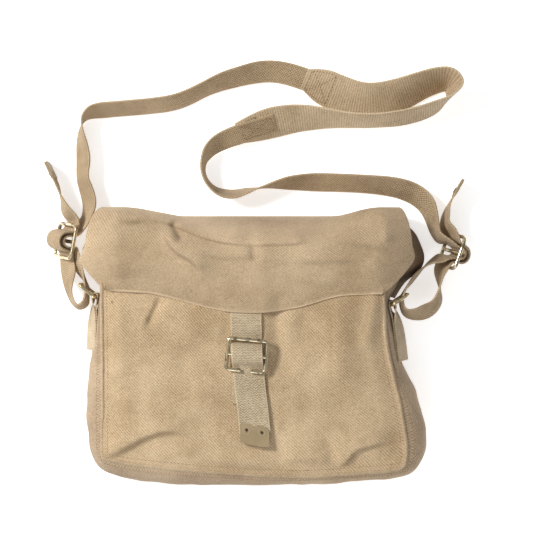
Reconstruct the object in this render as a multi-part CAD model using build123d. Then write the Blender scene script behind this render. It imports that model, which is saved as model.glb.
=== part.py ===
from build123d import *
import os
from math import cos, radians, sin, sqrt

os.makedirs("parts", exist_ok=True)

# A small canvas satchel lying on its back. Millimetres. +Z is out of the front of the bag and +Y is
# towards its mouth. The origin is on the floor, under the middle of the back panel.

# Driving dimensions
CANVAS = 1.6  # doubled, stitched cotton canvas
WEBBING = 1.4
NARROW = 19.0  # shoulder strap
CLOSING = 25.4  # closing strap
WIDE = 32.0  # centre piece of the shoulder strap
SEAM_HEIGHT = 44.0  # where the gusset meets the front panel
SEAM_BEAD = 2.2
GAP = 0.3

RING_WIRE = 2.8
RING_HEIGHT = 27.5
BUCKLE_WIRE = 3.2
STRAP_BUCKLE_LENGTH = 31.2
STRAP_BUCKLE_HEIGHT = 26.8
CLOSING_WIRE = 3.2
CLOSING_BUCKLE_WIDTH = 35.0
CLOSING_BUCKLE_LENGTH = 28.5
CLOSING_BUCKLE_GAP = 9.0  # between the two prongs of its lower bar
TIP_LENGTH = 16.0
TIP_THICK = 3.4

# Joint lines
BACK_HINGE = (115.0, 1.8)  # y, z of the line on which the flap lifts
FOLD = (88.4, 51.3)  # y, z of the crease in the flap

# Seam stations down the left side, round the bottom and up the right side: the gusset's edge on the
# back panel, its edge on the front panel, the way it bulges in degrees, and how far.
SEAM = [
    (-124, 108, -125.5, 79, 180, 1),
    (-127, 62, -126, 52, 180, 1.5),
    (-127.5, 44, -126, 42, 180, 4),
    (-127.5, 20, -125.5, 20, 180, 9),
    (-127.5, -20, -125, -20, 180, 13.5),
    (-127, -60, -125, -60, 180, 14),
    (-126, -80, -124.5, -77, 185, 13),
    (-121, -91, -119.5, -86, 225, 12),
    (-108, -96, -106, -89.5, 262, 13),
    (-70, -99, -70, -93.5, 269, 14),
    (-10, -100, -10, -98.5, 270, 12),
    (40, -100, 40, -100.5, 270, 10),
    (85, -98, 85, -97.5, 272, 9.5),
    (108, -95, 108, -94.5, 284, 10),
    (121, -88, 118.5, -88, 320, 14),
    (126, -74, 123.2, -74, 355, 19),
    (126, -58, 121.5, -58, 360, 18),
    (124, -35, 116.5, -35, 360, 14),
    (121, -10, 110, -10, 360, 8.5),
    (118.5, 15, 105.8, 15, 360, 10),
    (115.5, 30, 105.2, 30, 360, 5),
    (112, 40, 104.8, 40, 360, 0.5),
    (112, 62, 104.5, 54, 360, 0.5),
    (113, 108, 106, 79, 360, 1),
]

# The flap seen from the front, from its crease down the left side, along the hem and back up
FLAP_OUTLINE = [
    (-141, 90),
    (-143.5, 77),
    (-140, 71),
    (-128.5, 55),
    (-121, 52.5),
    (-90, 51),
    (-73, 47),
    (-56, 42),
    (-39, 38),
    (-22, 34.5),
    (4, 34),
    (23, 36.5),
    (41, 39.5),
    (65, 46.8),
    (74, 48.4),
    (104, 49.3),
    (115, 61),
    (130, 77),
    (131, 82),
    (129, 90),
]


def save(shape, name):
    shape.label = name
    export_step(shape, f"parts/{name}.step")


# ---------------------------------------------------------------- cloth helpers


def polygon(points):
    return Wire.make_polygon([Vector(*p) for p in points], close=True)


def ribbon(stations, thickness):
    """Flat webbing through stations of point, width direction and width."""
    sections = []
    for i, (here, across, width) in enumerate(stations):
        before = stations[max(i - 1, 0)][0]
        after = stations[min(i + 1, len(stations) - 1)][0]
        along = (after - before).normalized()
        across = (across - along * across.dot(along)).normalized()
        half = across * (width / 2)
        up = along.cross(across) * (thickness / 2)
        corners = (here - half - up, here + half - up, here + half + up, here - half + up)
        sections.append(Wire.make_polygon(corners, close=True))
    return Solid.make_loft(sections, ruled=True)


def leaning(x, y, lean_x, lean_y, z=None, width=NARROW):
    """A station whose top edge leans towards (lean_x, lean_y); with no z it stands on the floor."""
    rise = sqrt(max(0.0, 1 - lean_x**2 - lean_y**2))
    if z is None:
        z = width / 2 * rise + WEBBING / 2 + 0.2
    return Vector(x, y, z), Vector(lean_x, lean_y, rise), width


def crowned(rows, xs, drop, thickness):
    """A sheet lofted through rows of (y, z, tilt, left, right, share of the side droop)."""
    sections = []
    for y, z, tilt, left, right, share in rows:
        normal = Vector(0, sin(radians(tilt)), cos(radians(tilt)))
        top = []
        for x in xs:
            place = left + (right - left) * (x - xs[0]) / (xs[-1] - xs[0])
            top.append(Vector(place, y, z) - normal * (drop(place) * share))
        under = [p - normal * thickness for p in reversed(top)]
        sections.append(Wire.make_polygon(top + under, close=True))
    return Solid.make_loft(sections, ruled=True)


def within(outline):
    return extrude(make_face(Polyline(*outline, close=True)), amount=90)


# ---------------------------------------------------------------- metal helpers


def wire_loop(length, width, wire, corner):
    """A rounded rectangle of bent wire, in the XY plane, on its centre."""
    path = RectangleRounded(length - wire, width - wire, corner).face().outer_wire()
    start = Plane(path @ 0, z_dir=path % 0)
    return sweep(start * Circle(wire / 2), path=path)


def strap_tip(width):
    """A folded brass end: a flat shoe with a slot for the webbing, its open end at x = 0."""
    shoe = Pos(TIP_LENGTH / 2, 0, 0) * Box(TIP_LENGTH, width + 1.6, TIP_THICK)
    shoe = fillet(shoe.edges().filter_by(Axis.Z).group_by(Axis.X)[-1], 3)
    slot = Pos(TIP_LENGTH / 2 - 2, 0, 0) * Box(TIP_LENGTH, width + 0.4, WEBBING + 0.5)
    return shoe - slot


# ---------------------------------------------------------------- the bag


def front_drop(x):
    return 6.0 * abs((x + 8) / 126) ** 3


def front_panel():
    rows = [
        (-106, 47.5, 0, -132, 132, 0.3),
        (-92, 49.5, 0, -132, 132, 0.6),
        (-70, 51.5, 0, -132, 132, 0.9),
        (-30, 52.3, 0, -132, 132, 1),
        (10, 52.3, 0, -132, 132, 1),
        (40, 51.2, 0, -132, 132, 0.85),
        (62, 49.8, 0, -132, 132, 0.6),
        (82, 48.2, 0, -132, 132, 0.35),
    ]
    xs = [-132, -115, -90, -50, -8, 35, 75, 100, 116, 132]
    sheet = crowned(rows, xs, front_drop, CANVAS)
    outline = [(fx, fy) for _, _, fx, fy, _, _ in SEAM]
    return sheet & within(outline)


def back_panel():
    outline = [(bx, by) for bx, by, _, _, _, _ in SEAM]
    outline += [(114, 114), (-122.5, 114)]
    return extrude(make_face(Polyline(*outline, close=True)), amount=CANVAS)


def gusset():
    heights = [0, 0.12, 0.3, 0.5, 0.7, 0.88, 1]
    shape = [0, 0.6, 0.93, 1, 0.93, 0.6, 0]
    sections = []
    for bx, by, fx, fy, angle, bulge in SEAM:
        out = Vector(cos(radians(angle)), sin(radians(angle)), 0)
        low = Vector(bx, by, CANVAS + GAP)
        high = Vector(fx, fy, SEAM_HEIGHT - GAP)
        outer = [low + (high - low) * h + out * (bulge * s) for h, s in zip(heights, shape)]
        inner = [p - out * CANVAS for p in reversed(outer)]
        sections.append(Wire.make_polygon(outer + inner, close=True))
    return Solid.make_loft(sections, ruled=True)


def seam_bead(front):
    """The raised seam that runs round the edge of a panel, just outside it."""
    sections = []
    for bx, by, fx, fy, angle, _ in SEAM:
        out = Vector(cos(radians(angle)), sin(radians(angle)), 0)
        foot = Vector(fx, fy, SEAM_HEIGHT + GAP) if front else Vector(bx, by, 0)
        height = SEAM_BEAD if front else CANVAS
        near = foot + out * 0.2
        far = foot + out * (0.2 + SEAM_BEAD)
        up = Vector(0, 0, height)
        sections.append(Wire.make_polygon([near, far, far + up, near + up], close=True))
    return Solid.make_loft(sections, ruled=True)


def flap_drop(x):
    left = max(0.0, (-116 - x) / 27) ** 1.5 * 16
    right = max(0.0, (x - 100) / 31) ** 1.5 * 14
    return left + right


FLAP_XS = [-145, -138, -130, -122, -110, -70, -20, 30, 70, 96, 106, 115, 123, 132]


def flap_front():
    rows = [
        (FOLD[0] - 0.4, FOLD[1], 25, -145, 132, 1),
        (82, 53.6, 8, -145, 132, 1),
        (70, 54.4, 0, -145, 132, 1),
        (50, 54.8, 0, -145, 132, 1),
        (28, 54.9, 0, -145, 132, 1),
    ]
    return crowned(rows, FLAP_XS, flap_drop, CANVAS) & within(FLAP_OUTLINE)


def flap_top():
    rows = [
        (114.5, 2.6, 78, -124, 116, 0.1),
        (112.5, 14, 68, -127, 121, 0.3),
        (107, 29, 55, -132, 125, 0.6),
        (98, 42, 45, -138, 128, 0.85),
        (FOLD[0], FOLD[1], 25, -141, 129.3, 1),
    ]
    return crowned(rows, FLAP_XS, flap_drop, CANVAS)


def flap_wing(stations):
    """An ear of canvas beside the rising part of the flap, through pairs of top and bottom points."""
    sections = []
    for top, bottom in stations:
        middle = (Vector(*top) + Vector(*bottom)) / 2
        across = Vector(*top) - Vector(*bottom)
        sections.append((middle, across.normalized(), across.length))
    return ribbon(sections, CANVAS)


WING_RIGHT = [
    ((123.5, 109.5, 7), (124.5, 111.5, 2.5)),
    ((128.6, 103.5, 25), (131.5, 105.5, 6)),
    ((132.0, 92, 35), (138.5, 93, 13)),
    ((133.8, 84, 38.5), (142.5, 81, 22)),
    ((134.2, 79, 39), (143, 76.5, 29)),
]
WING_LEFT = [
    ((-129.5, 109.5, 7), (-129.5, 111.5, 2.5)),
    ((-135.3, 102.5, 23), (-135.3, 105.5, 6)),
    ((-142.6, 90, 31.5), (-139, 93, 14)),
    ((-145.2, 82, 33), (-142, 84, 20)),
]


# ---------------------------------------------------------------- closing strap and its buckle

CLOSING_BUCKLE_AT = (-6.9, -0.4, 57.2)
CLOSING_TURN = -6.0  # degrees about +Z
CLOSING_ROUTE = [
    (-8.2, 60, 51.7),
    (-7.9, 46, 52.0),
    (-7.8, 34, 52.5),
    (-7.6, 22, 53.0),
    (-7.3, 14, 53.1),
    (-7.1, 9, 55.2),
    (-7.0, 5, 59.7),
    (-6.9, -0.4, 61.7),
    (-6.6, -5.6, 59.9),
    (-6.3, -8.6, 55.9),
    (-5.8, -11.8, 54.5),
    (-5.0, -20, 54.6),
    (-4.0, -30, 54.6),
    (-3.0, -38, 54.6),
    (-2.2, -44, 54.4),
    (-1.2, -55, 54.4),
    (-0.2, -64, 54.4),
]
CLOSING_TIP_AT = (-0.9, -57.5, 54.4)
CLOSING_TIP_TURN = -85.0
CHAPE_ROUTE = [
    (-7.1, -2.6, 54.7),
    (-7.6, -6.5, 53.1),
    (-8.2, -20, 53.0),
    (-7.6, -37, 53.0),
]


def closing_strap():
    across = Vector(1, 0, 0).rotate(Axis.Z, CLOSING_TURN)
    return ribbon([(Vector(*p), across, CLOSING) for p in CLOSING_ROUTE], WEBBING)


def closing_buckle():
    frame = wire_loop(CLOSING_BUCKLE_LENGTH, CLOSING_BUCKLE_WIDTH, CLOSING_WIRE, 2.6)
    bar_length = CLOSING_BUCKLE_WIDTH - CLOSING_WIRE
    bar = Rot(90, 0, 0) * Cylinder(CLOSING_WIRE / 2, bar_length)
    split = Pos(-CLOSING_BUCKLE_LENGTH / 2, 0, 0) * Box(8, CLOSING_BUCKLE_GAP, 8)
    buckle = (frame + bar) - split
    return Pos(*CLOSING_BUCKLE_AT) * Rot(0, 0, 90 + CLOSING_TURN) * buckle


def buckle_chape():
    inner = CLOSING_WIRE / 2 + 0.15
    loop = Cylinder(inner + 1.2, 24) - Cylinder(inner, 26)
    loop = Pos(*CLOSING_BUCKLE_AT) * Rot(0, 0, CLOSING_TURN) * Rot(0, 90, 0) * loop
    across = Vector(1, 0, 0).rotate(Axis.Z, CLOSING_TURN)
    tail = ribbon([(Vector(*p), across, 24) for p in CHAPE_ROUTE], 0.9)
    return loop + tail


def closing_tip():
    return Pos(*CLOSING_TIP_AT) * Rot(0, 0, CLOSING_TIP_TURN) * strap_tip(CLOSING)


# ---------------------------------------------------------------- side rings

RINGS = {
    "left": {"inner": (-132.8, 46.2), "outer": (-145.7, 57.0), "z": 31.0},
    "right": {"inner": (112.9, 40.0), "outer": (125.9, 48.5), "z": 30.0},
}
RING_CHAPES = {
    "left": [
        leaning(-137.9, 5, 0.33, 0, 33.2),
        leaning(-137.4, 25, 0.33, 0, 33.2),
        leaning(-135.4, 37, 0.18, 0, 32.2),
        leaning(-133.4, 43.0, 0.0, 0, 31.4, 16),
    ],
    "right": [
        leaning(125.4, -6, -0.55, 0, 28.3),
        leaning(123.4, 15, -0.58, 0, 28.3),
        leaning(118.4, 30, -0.3, 0, 29.4),
        leaning(114.4, 37.6, 0.0, 0, 30.0, 16),
    ],
}


def ring_length(side):
    ring = RINGS[side]
    return (Vector(*ring["outer"]) - Vector(*ring["inner"])).length


def side_ring(side):
    ring = RINGS[side]
    inner = Vector(*ring["inner"], ring["z"])
    reach = Vector(*ring["outer"], ring["z"]) - inner
    stand = Plane(inner + reach / 2, x_dir=reach.normalized(), z_dir=reach.cross(Vector(0, 0, 1)))
    return stand * wire_loop(ring_length(side) + RING_WIRE, RING_HEIGHT, RING_WIRE, 3.5)


def ring_chape(side):
    ring = RINGS[side]
    bore = RING_WIRE / 2 + 0.2
    loop = Cylinder(bore + 1.3, 16) - Cylinder(bore, 20)
    loop = Pos(*ring["inner"], ring["z"]) * loop
    return loop + ribbon(RING_CHAPES[side], 2.6)


# ---------------------------------------------------------------- shoulder strap

KNOTS = {
    # middle of the buckle, direction along it, way it faces, and how far its top leans inwards
    "left": (Vector(-161.5, 93.6, 13.3), Vector(0.18, 0.984, 0), Vector(-0.984, 0.18, 0), 45),
    "right": (Vector(165.7, 84.8, 16.2), Vector(0.333, 0.943, 0), Vector(0.943, -0.333, 0), -30),
}
# Where each layer of the strap runs through the buckle: along it, and out of it
INNER_LAYER = [(12, -10.5), (7, -5.5), (4.8, -1), (4.6, 4), (3, 7.4), (0, 8.4), (-3, 7.4)]
INNER_LAYER += [(-4.8, 4), (-5, -1), (-6, -5), (-10, -9.5)]
OUTER_LAYER = [(-20, -6.4), (-14, -4.4), (-10, -2.8), (-8, 0), (-8, 4), (-6.6, 9), (-3.5, 12)]
OUTER_LAYER += [(0, 12.8), (3.5, 12), (6.6, 9), (8, 4), (8, 0), (10, -2.8), (14, -4.4)]


def knot_frame(side):
    middle, along, out, lean = KNOTS[side]
    up = Vector(0, 0, 1)
    bars = up * cos(radians(lean)) - out * sin(radians(lean))
    return middle, along, out, bars


def in_knot(side, u, n):
    middle, along, out, bars = knot_frame(side)
    lean = KNOTS[side][3]
    tilt = sin(radians(lean)) * max(n, -7)
    return middle + along * u + out * (n * cos(radians(lean))) + Vector(0, 0, tilt), bars, NARROW


def knot_pass(side, layer):
    return [in_knot(side, u, n) for u, n in layer]


STRAP_LEFT = (
    [
        leaning(-176.4, 157.5, 0, 0),
        leaning(-170.4, 144.6, 0, 0),
        leaning(-168.2, 138.8, 0.06, 0),
        leaning(-165.4, 129.5, 0.2, 0.03, 10.4),
        leaning(-162.4, 120, 0.45, 0, 11.6),
    ]
    + knot_pass("left", OUTER_LAYER[::-1])
    + [
        leaning(-157.6, 63, 0.55, 0, 17.5),
        leaning(-157.2, 54, 0.42, 0.1, 21),
        leaning(-154.9, 45, 0.25, 0.25, 24.5),
        leaning(-150, 39, 0.1, 0.35, 27),
        leaning(-144.6, 39, 0.0, 0.25, 29),
        leaning(-141.3, 44.5, 0, 0.1, 30.4),
        leaning(-140.7, 52.2, 0, 0, 31),
        leaning(-142.0, 60, 0.05, 0, 28.4),
        leaning(-148.6, 72, 0.45, 0, 21),
    ]
    + knot_pass("left", INNER_LAYER[::-1])
    + [
        leaning(-144.8, 111.5, 0.5, -0.1),
        leaning(-141.4, 124.2, 0.72, 0),
        leaning(-144.2, 136, 0.68, 0.2),
        leaning(-148.4, 147.5, 0.57, 0.1),
        leaning(-147.0, 162, 0.72, -0.03),
        leaning(-148.2, 175.3, 0.62, 0.05),
        leaning(-149.2, 188, 0.3, 0.02),
        leaning(-147.6, 197.6, 0.0, 0.1),
        leaning(-142, 203, -0.1, 0.4),
        leaning(-133.5, 205, -0.05, 0.58),
        leaning(-115.8, 206.4, -0.05, 0.56),
        leaning(-90.3, 208.5, -0.03, 0.56),
        leaning(-71.5, 211, -0.08, 0.58),
        leaning(-58, 215.7, -0.2, 0.52),
        leaning(-45, 222.4, -0.22, 0.45),
        leaning(-30.6, 229.2, -0.25, 0.62),
        leaning(-14, 234.3, -0.2, 0.76),
        leaning(1, 238.2, -0.18, 0.88),
        leaning(14, 239.3, -0.03, 0.94, 3.6),
        leaning(27.5, 236.9, 0.25, 0.92, 4.0),
        leaning(41, 232.6, 0.44, 0.86, 4.0),
        leaning(54, 227.6, 0.41, 0.86, 4.4),
        leaning(70.1, 220.1, 0.40, 0.86, 4.6),
    ]
)

STRAP_CENTRE = [
    leaning(41.4, 232.6, 0.45, 0.85, 5.9, 17),
    leaning(53.7, 227.2, 0.41, 0.86, 6.3, 31),
    leaning(69.9, 219.6, 0.40, 0.86, 6.5, WIDE),
    leaning(88.7, 213.2, 0.15, 0.92, None, WIDE),
    leaning(105.7, 213.4, -0.05, 0.92, None, WIDE),
    leaning(122.7, 217.8, -0.25, 0.8, None, WIDE),
    leaning(139.5, 225.2, -0.22, 0.62, None, WIDE),
    leaning(154.3, 230.2, -0.08, 0.58, None, WIDE),
    leaning(164.8, 230.8, 0.3, 0.42, None, WIDE),
    leaning(169.3, 224.2, 0.4, 0.15, None, WIDE),
    leaning(165.3, 215.4, 0.12, 0.08, None, WIDE),
    leaning(154.5, 207.4, -0.1, 0.25, None, WIDE),
    leaning(139.8, 201.4, -0.08, 0.3, None, WIDE),
    leaning(122.7, 197.3, 0, 0.29, None, WIDE),
    leaning(101.4, 195.2, 0, 0.24, None, WIDE),
    leaning(80.1, 195.4, 0, 0.26, None, WIDE),
    leaning(58.8, 197.6, 0, 0.42, None, WIDE),
    leaning(37.5, 198.2, 0, 0.62, None, WIDE),
    leaning(16.2, 194.9, -0.1, 0.75, None, WIDE),
    leaning(-0.8, 189.8, -0.2, 0.78, 11.3, 28),
    leaning(-15.3, 184.9, -0.25, 0.77, 11.2, 20),
]

STRAP_RIGHT = (
    [
        leaning(16.6, 193.8, -0.1, 0.75, 12.8),
        leaning(-0.4, 188.7, -0.2, 0.78, 12.2),
        leaning(-14.9, 183.8, -0.25, 0.77, 12.1),
        leaning(-25.5, 180.2, -0.35, 0.66, 9.8),
        leaning(-34.4, 175.6, -0.4, 0.5, 9.0),
        leaning(-40.8, 169.6, -0.4, 0.25, 9.6),
        leaning(-44.7, 162, -0.2, 0),
        leaning(-45.5, 153.5, -0.14, 0),
        leaning(-42.5, 144.7, -0.12, -0.1),
        leaning(-35.7, 137.4, -0.12, -0.2),
        leaning(-27.2, 133.6, -0.1, -0.4),
        leaning(-17, 133.4, 0.1, -0.42),
        leaning(-6.8, 136.4, 0.1, -0.25),
        leaning(5.2, 139.4, 0, 0),
        leaning(18.8, 142.1, -0.05, 0.3),
        leaning(31, 143.4, -0.03, 0.55),
        leaning(46.1, 143.9, 0, 0.75),
        leaning(71.6, 143.4, 0, 0.74),
        leaning(101.4, 141.9, 0.04, 0.75),
        leaning(121, 139.5, 0.12, 0.85),
        leaning(135.5, 134.4, 0.4, 0.82),
        leaning(145.7, 125.6, 0.6, 0.5),
        leaning(149.8, 114.6, 0.45, 0.15),
        leaning(151.8, 104, 0.35, 0.05, 12),
        leaning(154.6, 95.5, 0.4, -0.05, 16.5),
    ]
    + knot_pass("right", INNER_LAYER[1:])
    + [
        leaning(145.5, 74, 0.05, 0.05, 20),
        leaning(134, 64, -0.2, 0.2, 25),
        leaning(125.6, 54, -0.1, 0.05, 28.5),
        leaning(121.4, 45.7, 0, 0, 30),
        leaning(122.4, 37.6, -0.05, 0.15, 29),
        leaning(128.5, 32.5, -0.05, 0.45, 26.5),
        leaning(139, 32.6, 0, 0.72, 23),
        leaning(149.2, 36.2, -0.25, 0.6, 20),
        leaning(155.4, 44.5, -0.45, 0.2, 17.5),
        leaning(155.8, 56, -0.05, 0, 15.8),
        leaning(154.8, 66, 0.34, -0.1, 15.8),
    ]
    + knot_pass("right", OUTER_LAYER[1:])
    + [
        leaning(159.6, 105.3, 0.42, -0.12, 14.6),
        leaning(160.6, 114, 0.2, -0.05, 12),
        leaning(163.5, 123.5, -0.05, 0),
        leaning(169, 133.4, -0.1, 0),
        leaning(174.4, 142.4, -0.1, 0),
    ]
)


def strap_buckle(side):
    middle, along, _, bars = knot_frame(side)
    frame = wire_loop(STRAP_BUCKLE_LENGTH, STRAP_BUCKLE_HEIGHT, BUCKLE_WIRE, 4)
    bar = Rot(90, 0, 0) * Cylinder(BUCKLE_WIRE / 2, STRAP_BUCKLE_HEIGHT - BUCKLE_WIRE)
    return Plane(middle, x_dir=along, z_dir=along.cross(bars)) * (frame + bar)


def free_end_tip(last, before):
    """The brass shoe on the end of the webbing at station last."""
    end, across, _ = last
    along = (end - before[0]).normalized()
    across = (across - along * across.dot(along)).normalized()
    start = end - along * (TIP_LENGTH - 3.5)
    return Plane(start, x_dir=along, z_dir=along.cross(across)) * strap_tip(NARROW)


save(back_panel(), "back_panel")
save(front_panel(), "front_panel")
save(gusset(), "gusset")
save(seam_bead(True), "front_seam")
save(seam_bead(False), "back_seam")
save(flap_top(), "flap_top")
save(flap_front(), "flap_front")
save(flap_wing(WING_LEFT), "flap_wing_left")
save(flap_wing(WING_RIGHT), "flap_wing_right")
save(closing_strap(), "closing_strap")
save(closing_tip(), "closing_strap_tip")
save(closing_buckle(), "closing_buckle")
save(buckle_chape(), "closing_buckle_chape")
save(ribbon(STRAP_LEFT, WEBBING), "shoulder_strap_left")
save(ribbon(STRAP_CENTRE, WEBBING), "shoulder_strap_centre")
save(ribbon(STRAP_RIGHT, WEBBING), "shoulder_strap_right")
save(free_end_tip(STRAP_LEFT[0], STRAP_LEFT[1]), "strap_tip_left")
save(free_end_tip(STRAP_RIGHT[-1], STRAP_RIGHT[-2]), "strap_tip_right")
for hand in ("left", "right"):
    save(side_ring(hand), f"ring_{hand}")
    save(ring_chape(hand), f"ring_chape_{hand}")
    save(strap_buckle(hand), f"strap_buckle_{hand}")
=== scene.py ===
# %% [markdown]
# A small canvas satchel for letters, lying on its back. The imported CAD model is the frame: it says how
# large everything is and what moves. Each soft piece below is made again as cloth, in metres, in the same
# place, and rides on the body of the CAD piece that it stands for.
# %% Load the frame
import bpy
import math
import numpy as np
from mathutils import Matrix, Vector, noise


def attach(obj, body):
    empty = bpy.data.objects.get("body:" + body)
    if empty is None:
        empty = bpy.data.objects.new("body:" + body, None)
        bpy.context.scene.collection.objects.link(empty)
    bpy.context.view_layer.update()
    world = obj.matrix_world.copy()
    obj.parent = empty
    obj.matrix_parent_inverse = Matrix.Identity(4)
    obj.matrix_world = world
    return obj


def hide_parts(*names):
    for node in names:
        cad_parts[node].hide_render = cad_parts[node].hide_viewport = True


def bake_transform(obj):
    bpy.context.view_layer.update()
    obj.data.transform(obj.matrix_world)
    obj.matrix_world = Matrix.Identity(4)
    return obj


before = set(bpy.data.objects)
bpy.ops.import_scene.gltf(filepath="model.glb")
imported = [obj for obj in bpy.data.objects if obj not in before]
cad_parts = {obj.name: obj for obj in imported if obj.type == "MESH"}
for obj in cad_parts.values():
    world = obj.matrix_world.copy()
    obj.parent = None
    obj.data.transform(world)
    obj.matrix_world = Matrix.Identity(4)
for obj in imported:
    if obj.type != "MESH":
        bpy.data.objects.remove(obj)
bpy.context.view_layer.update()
MM = 0.001

# %% [markdown]
# Studio. One soft light from the upper left shows the weave and the creases, and a larger, weaker one from
# the bag's lower edge opens the shadows. The floor is white and glows a little, so that it stays white. The
# camera hangs straight above, because the bag lies flat and everything worth seeing faces up. Standard view
# keeps cloth colours as they are given; the softer film look that Blender starts with would grey them.
# %% Studio light, floor and camera

LIGHT_AIM = Vector((0, 0.06, 0))
WORLD_LIGHT = 0.3
FLOOR_GLOW = 0.55


def deselect():
    bpy.ops.object.select_all(action="DESELECT")


def lamp(name, place, size, power, colour=(1, 1, 1)):
    bpy.ops.object.light_add(type="AREA", location=place)
    light = bpy.context.object
    light.name = name
    light.data.size = size
    light.data.energy = power
    light.data.color = colour
    light.rotation_euler = (LIGHT_AIM - Vector(place)).to_track_quat("-Z", "Y").to_euler()


lamp("key_light", (-1.0, 0.6, 1.02), 0.35, 20.5, (1, 0.99, 0.975))
lamp("fill_light", (0.1, -1.2, 1.0), 1.4, 9.5, (0.97, 0.985, 1))
world = bpy.data.worlds.new("studio")
world.use_nodes = True
sky = world.node_tree.nodes["Background"].inputs
sky["Color"].default_value = (1, 1, 1, 1)
sky["Strength"].default_value = WORLD_LIGHT
bpy.context.scene.world = world
bpy.context.scene.view_settings.view_transform = "Standard"

deselect()
bpy.ops.mesh.primitive_plane_add(size=6, location=(0, 0, -0.0004))
floor = bpy.context.object
floor.name = "floor"

bpy.ops.object.camera_add(location=(0.009, 0.0718, 1.05), rotation=(0, 0, 0))
camera = bpy.context.object
camera.data.lens = 82.5
camera.data.sensor_width = 36
bpy.context.scene.camera = camera
print("camera height", round(camera.location.z, 3), "lens", camera.data.lens)

# %% [markdown]
# Shader maths. A shader is a graph of nodes, but its sums read better as Python. Socket wraps one output,
# so that 1 - mask or weave * 0.2 adds the Math node it needs. Finish is one material being built: its
# node() method adds any other node, with settings first and then sockets.
# %% Socket and Finish


class Socket:
    """An output of a shader node. Arithmetic on it adds Math nodes."""

    def __init__(self, finish, output):
        self.finish = finish
        self.output = output

    def maths(self, operation, *values):
        sockets = dict(enumerate(values))
        return self.finish.node("ShaderNodeMath", {"operation": operation}, sockets)

    def __add__(self, other):
        return self.maths("ADD", self, other)

    def __radd__(self, other):
        return self.maths("ADD", other, self)

    def __sub__(self, other):
        return self.maths("SUBTRACT", self, other)

    def __rsub__(self, other):
        return self.maths("SUBTRACT", other, self)

    def __mul__(self, other):
        return self.maths("MULTIPLY", self, other)

    def __truediv__(self, other):
        return self.maths("DIVIDE", self, other)

    def wave(self, pitch):
        """A smooth 0 to 1 wave that repeats every pitch metres."""
        turn = self * (2 * math.pi / pitch)
        return turn.maths("SINE", turn) * 0.5 + 0.5

    def fraction(self):
        return self.maths("FRACT", self)

    def absolute(self):
        return self.maths("ABSOLUTE", self)

    def root(self):
        return self.maths("SQRT", self)

    def above(self, low, high):
        """0 below low, 1 above high, smooth between."""
        sockets = {"Value": self, "From Min": low, "From Max": high}
        settings = {"interpolation_type": "SMOOTHSTEP"}
        return self.finish.node("ShaderNodeMapRange", settings, sockets)


class Finish:
    """A material being built on its Principled shader."""

    def __init__(self, name, roughness=0.9, metallic=0.0):
        self.material = bpy.data.materials.new(name)
        self.material.use_nodes = True
        self.tree = self.material.node_tree
        self.shader = self.tree.nodes["Principled BSDF"]
        self.shader.inputs["Roughness"].default_value = roughness
        self.shader.inputs["Metallic"].default_value = metallic

    def put(self, socket, value):
        if isinstance(value, Socket):
            self.tree.links.new(value.output, socket)
        else:
            socket.default_value = value

    def node(self, kind, settings=None, sockets=None, output=0):
        made = self.tree.nodes.new(kind)
        for name, value in (settings or {}).items():
            setattr(made, name, value)
        for name, value in (sockets or {}).items():
            self.put(made.inputs[name], value)
        return Socket(self, made.outputs[output])

    def place(self):
        return self.node("ShaderNodeTexCoord", output="Object")

    def axes(self, vector):
        return [self.node("ShaderNodeSeparateXYZ", sockets={0: vector}, output=i) for i in range(3)]

    def speckle(self, scale, detail=4, roughness=0.6):
        """Noise from 0 to 1 with features 1/scale metres wide."""
        sockets = {"Vector": self.place(), "Scale": scale, "Detail": detail, "Roughness": roughness}
        return self.node("ShaderNodeTexNoise", sockets=sockets)

    def mix(self, share, first, second):
        settings = {"data_type": "RGBA"}
        return self.node("ShaderNodeMix", settings, {0: share, 6: first, 7: second}, output=2)

    def colour(self, value):
        self.put(self.shader.inputs["Base Color"], value)

    def bump(self, height, distance):
        sockets = {"Height": height, "Distance": distance, "Strength": 1.0}
        self.put(self.shader.inputs["Normal"], self.node("ShaderNodeBump", sockets=sockets))


def rgb(red, green, blue):
    """A screen colour, 0 to 255, as the linear colour that shaders use."""
    parts = [c / 255 for c in (red, green, blue)]
    return tuple([c / 12.92 if c <= 0.04045 else ((c + 0.055) / 1.055) ** 2.4 for c in parts] + [1])


floor_finish = Finish("floor_paper", roughness=0.95)
grain = floor_finish.speckle(60)
floor_finish.colour(floor_finish.mix(grain, (0.97, 0.97, 0.97, 1), (1.0, 1.0, 1.0, 1)))
floor_finish.shader.inputs["Emission Color"].default_value = (1, 1, 1, 1)
floor_finish.shader.inputs["Emission Strength"].default_value = FLOOR_GLOW
floor.data.materials.append(floor_finish.material)
print("floor finish ready")

# %% [markdown]
# Cotton. Canvas is a weave of threads about a millimetre apart, so each cloth below has a pattern in its
# own flat coordinates: the UV map is laid out in metres, so a thread stays the same size wherever the
# cloth bends. The front is a twill, whose threads step sideways into diagonal ribs. The flap shows a
# twill's back, and the sides are a plain weave. Old cotton is never one colour: it fades, yellows and takes
# up dirt in wide soft patches.
# %% Cloth finishes

THREAD_DEPTH = 0.00035
STAIN_BROWN = rgb(120, 82, 44)

def herringbone(along, across, pitch, band):
    """Diagonal ribs that turn back in bands across the webbing."""
    turned = (across / band).fraction()
    zigzag = turned.maths("PINGPONG", turned, 0.5) * band
    return (along + zigzag).wave(pitch)


def twill(along, across, pitch, band):
    ribs = (along * 0.72 + across * 0.69).wave(pitch)
    steps = (along * 0.55 - across * 0.83).wave(pitch * 0.93)
    return ribs * 0.5 + ribs * steps * 0.5


def twill_back(along, across, pitch, band):
    """The other side of a twill, whose ribs lean the other way."""
    return twill(along, 0 - across, pitch, band)


def plain(along, across, pitch, band):
    warp = along.wave(pitch)
    weft = across.wave(pitch)
    return warp * weft + (1 - warp) * (1 - weft)


def ribbed(along, across, pitch, band):
    return along.wave(pitch) * 0.8 + across.wave(band) * 0.2


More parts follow.
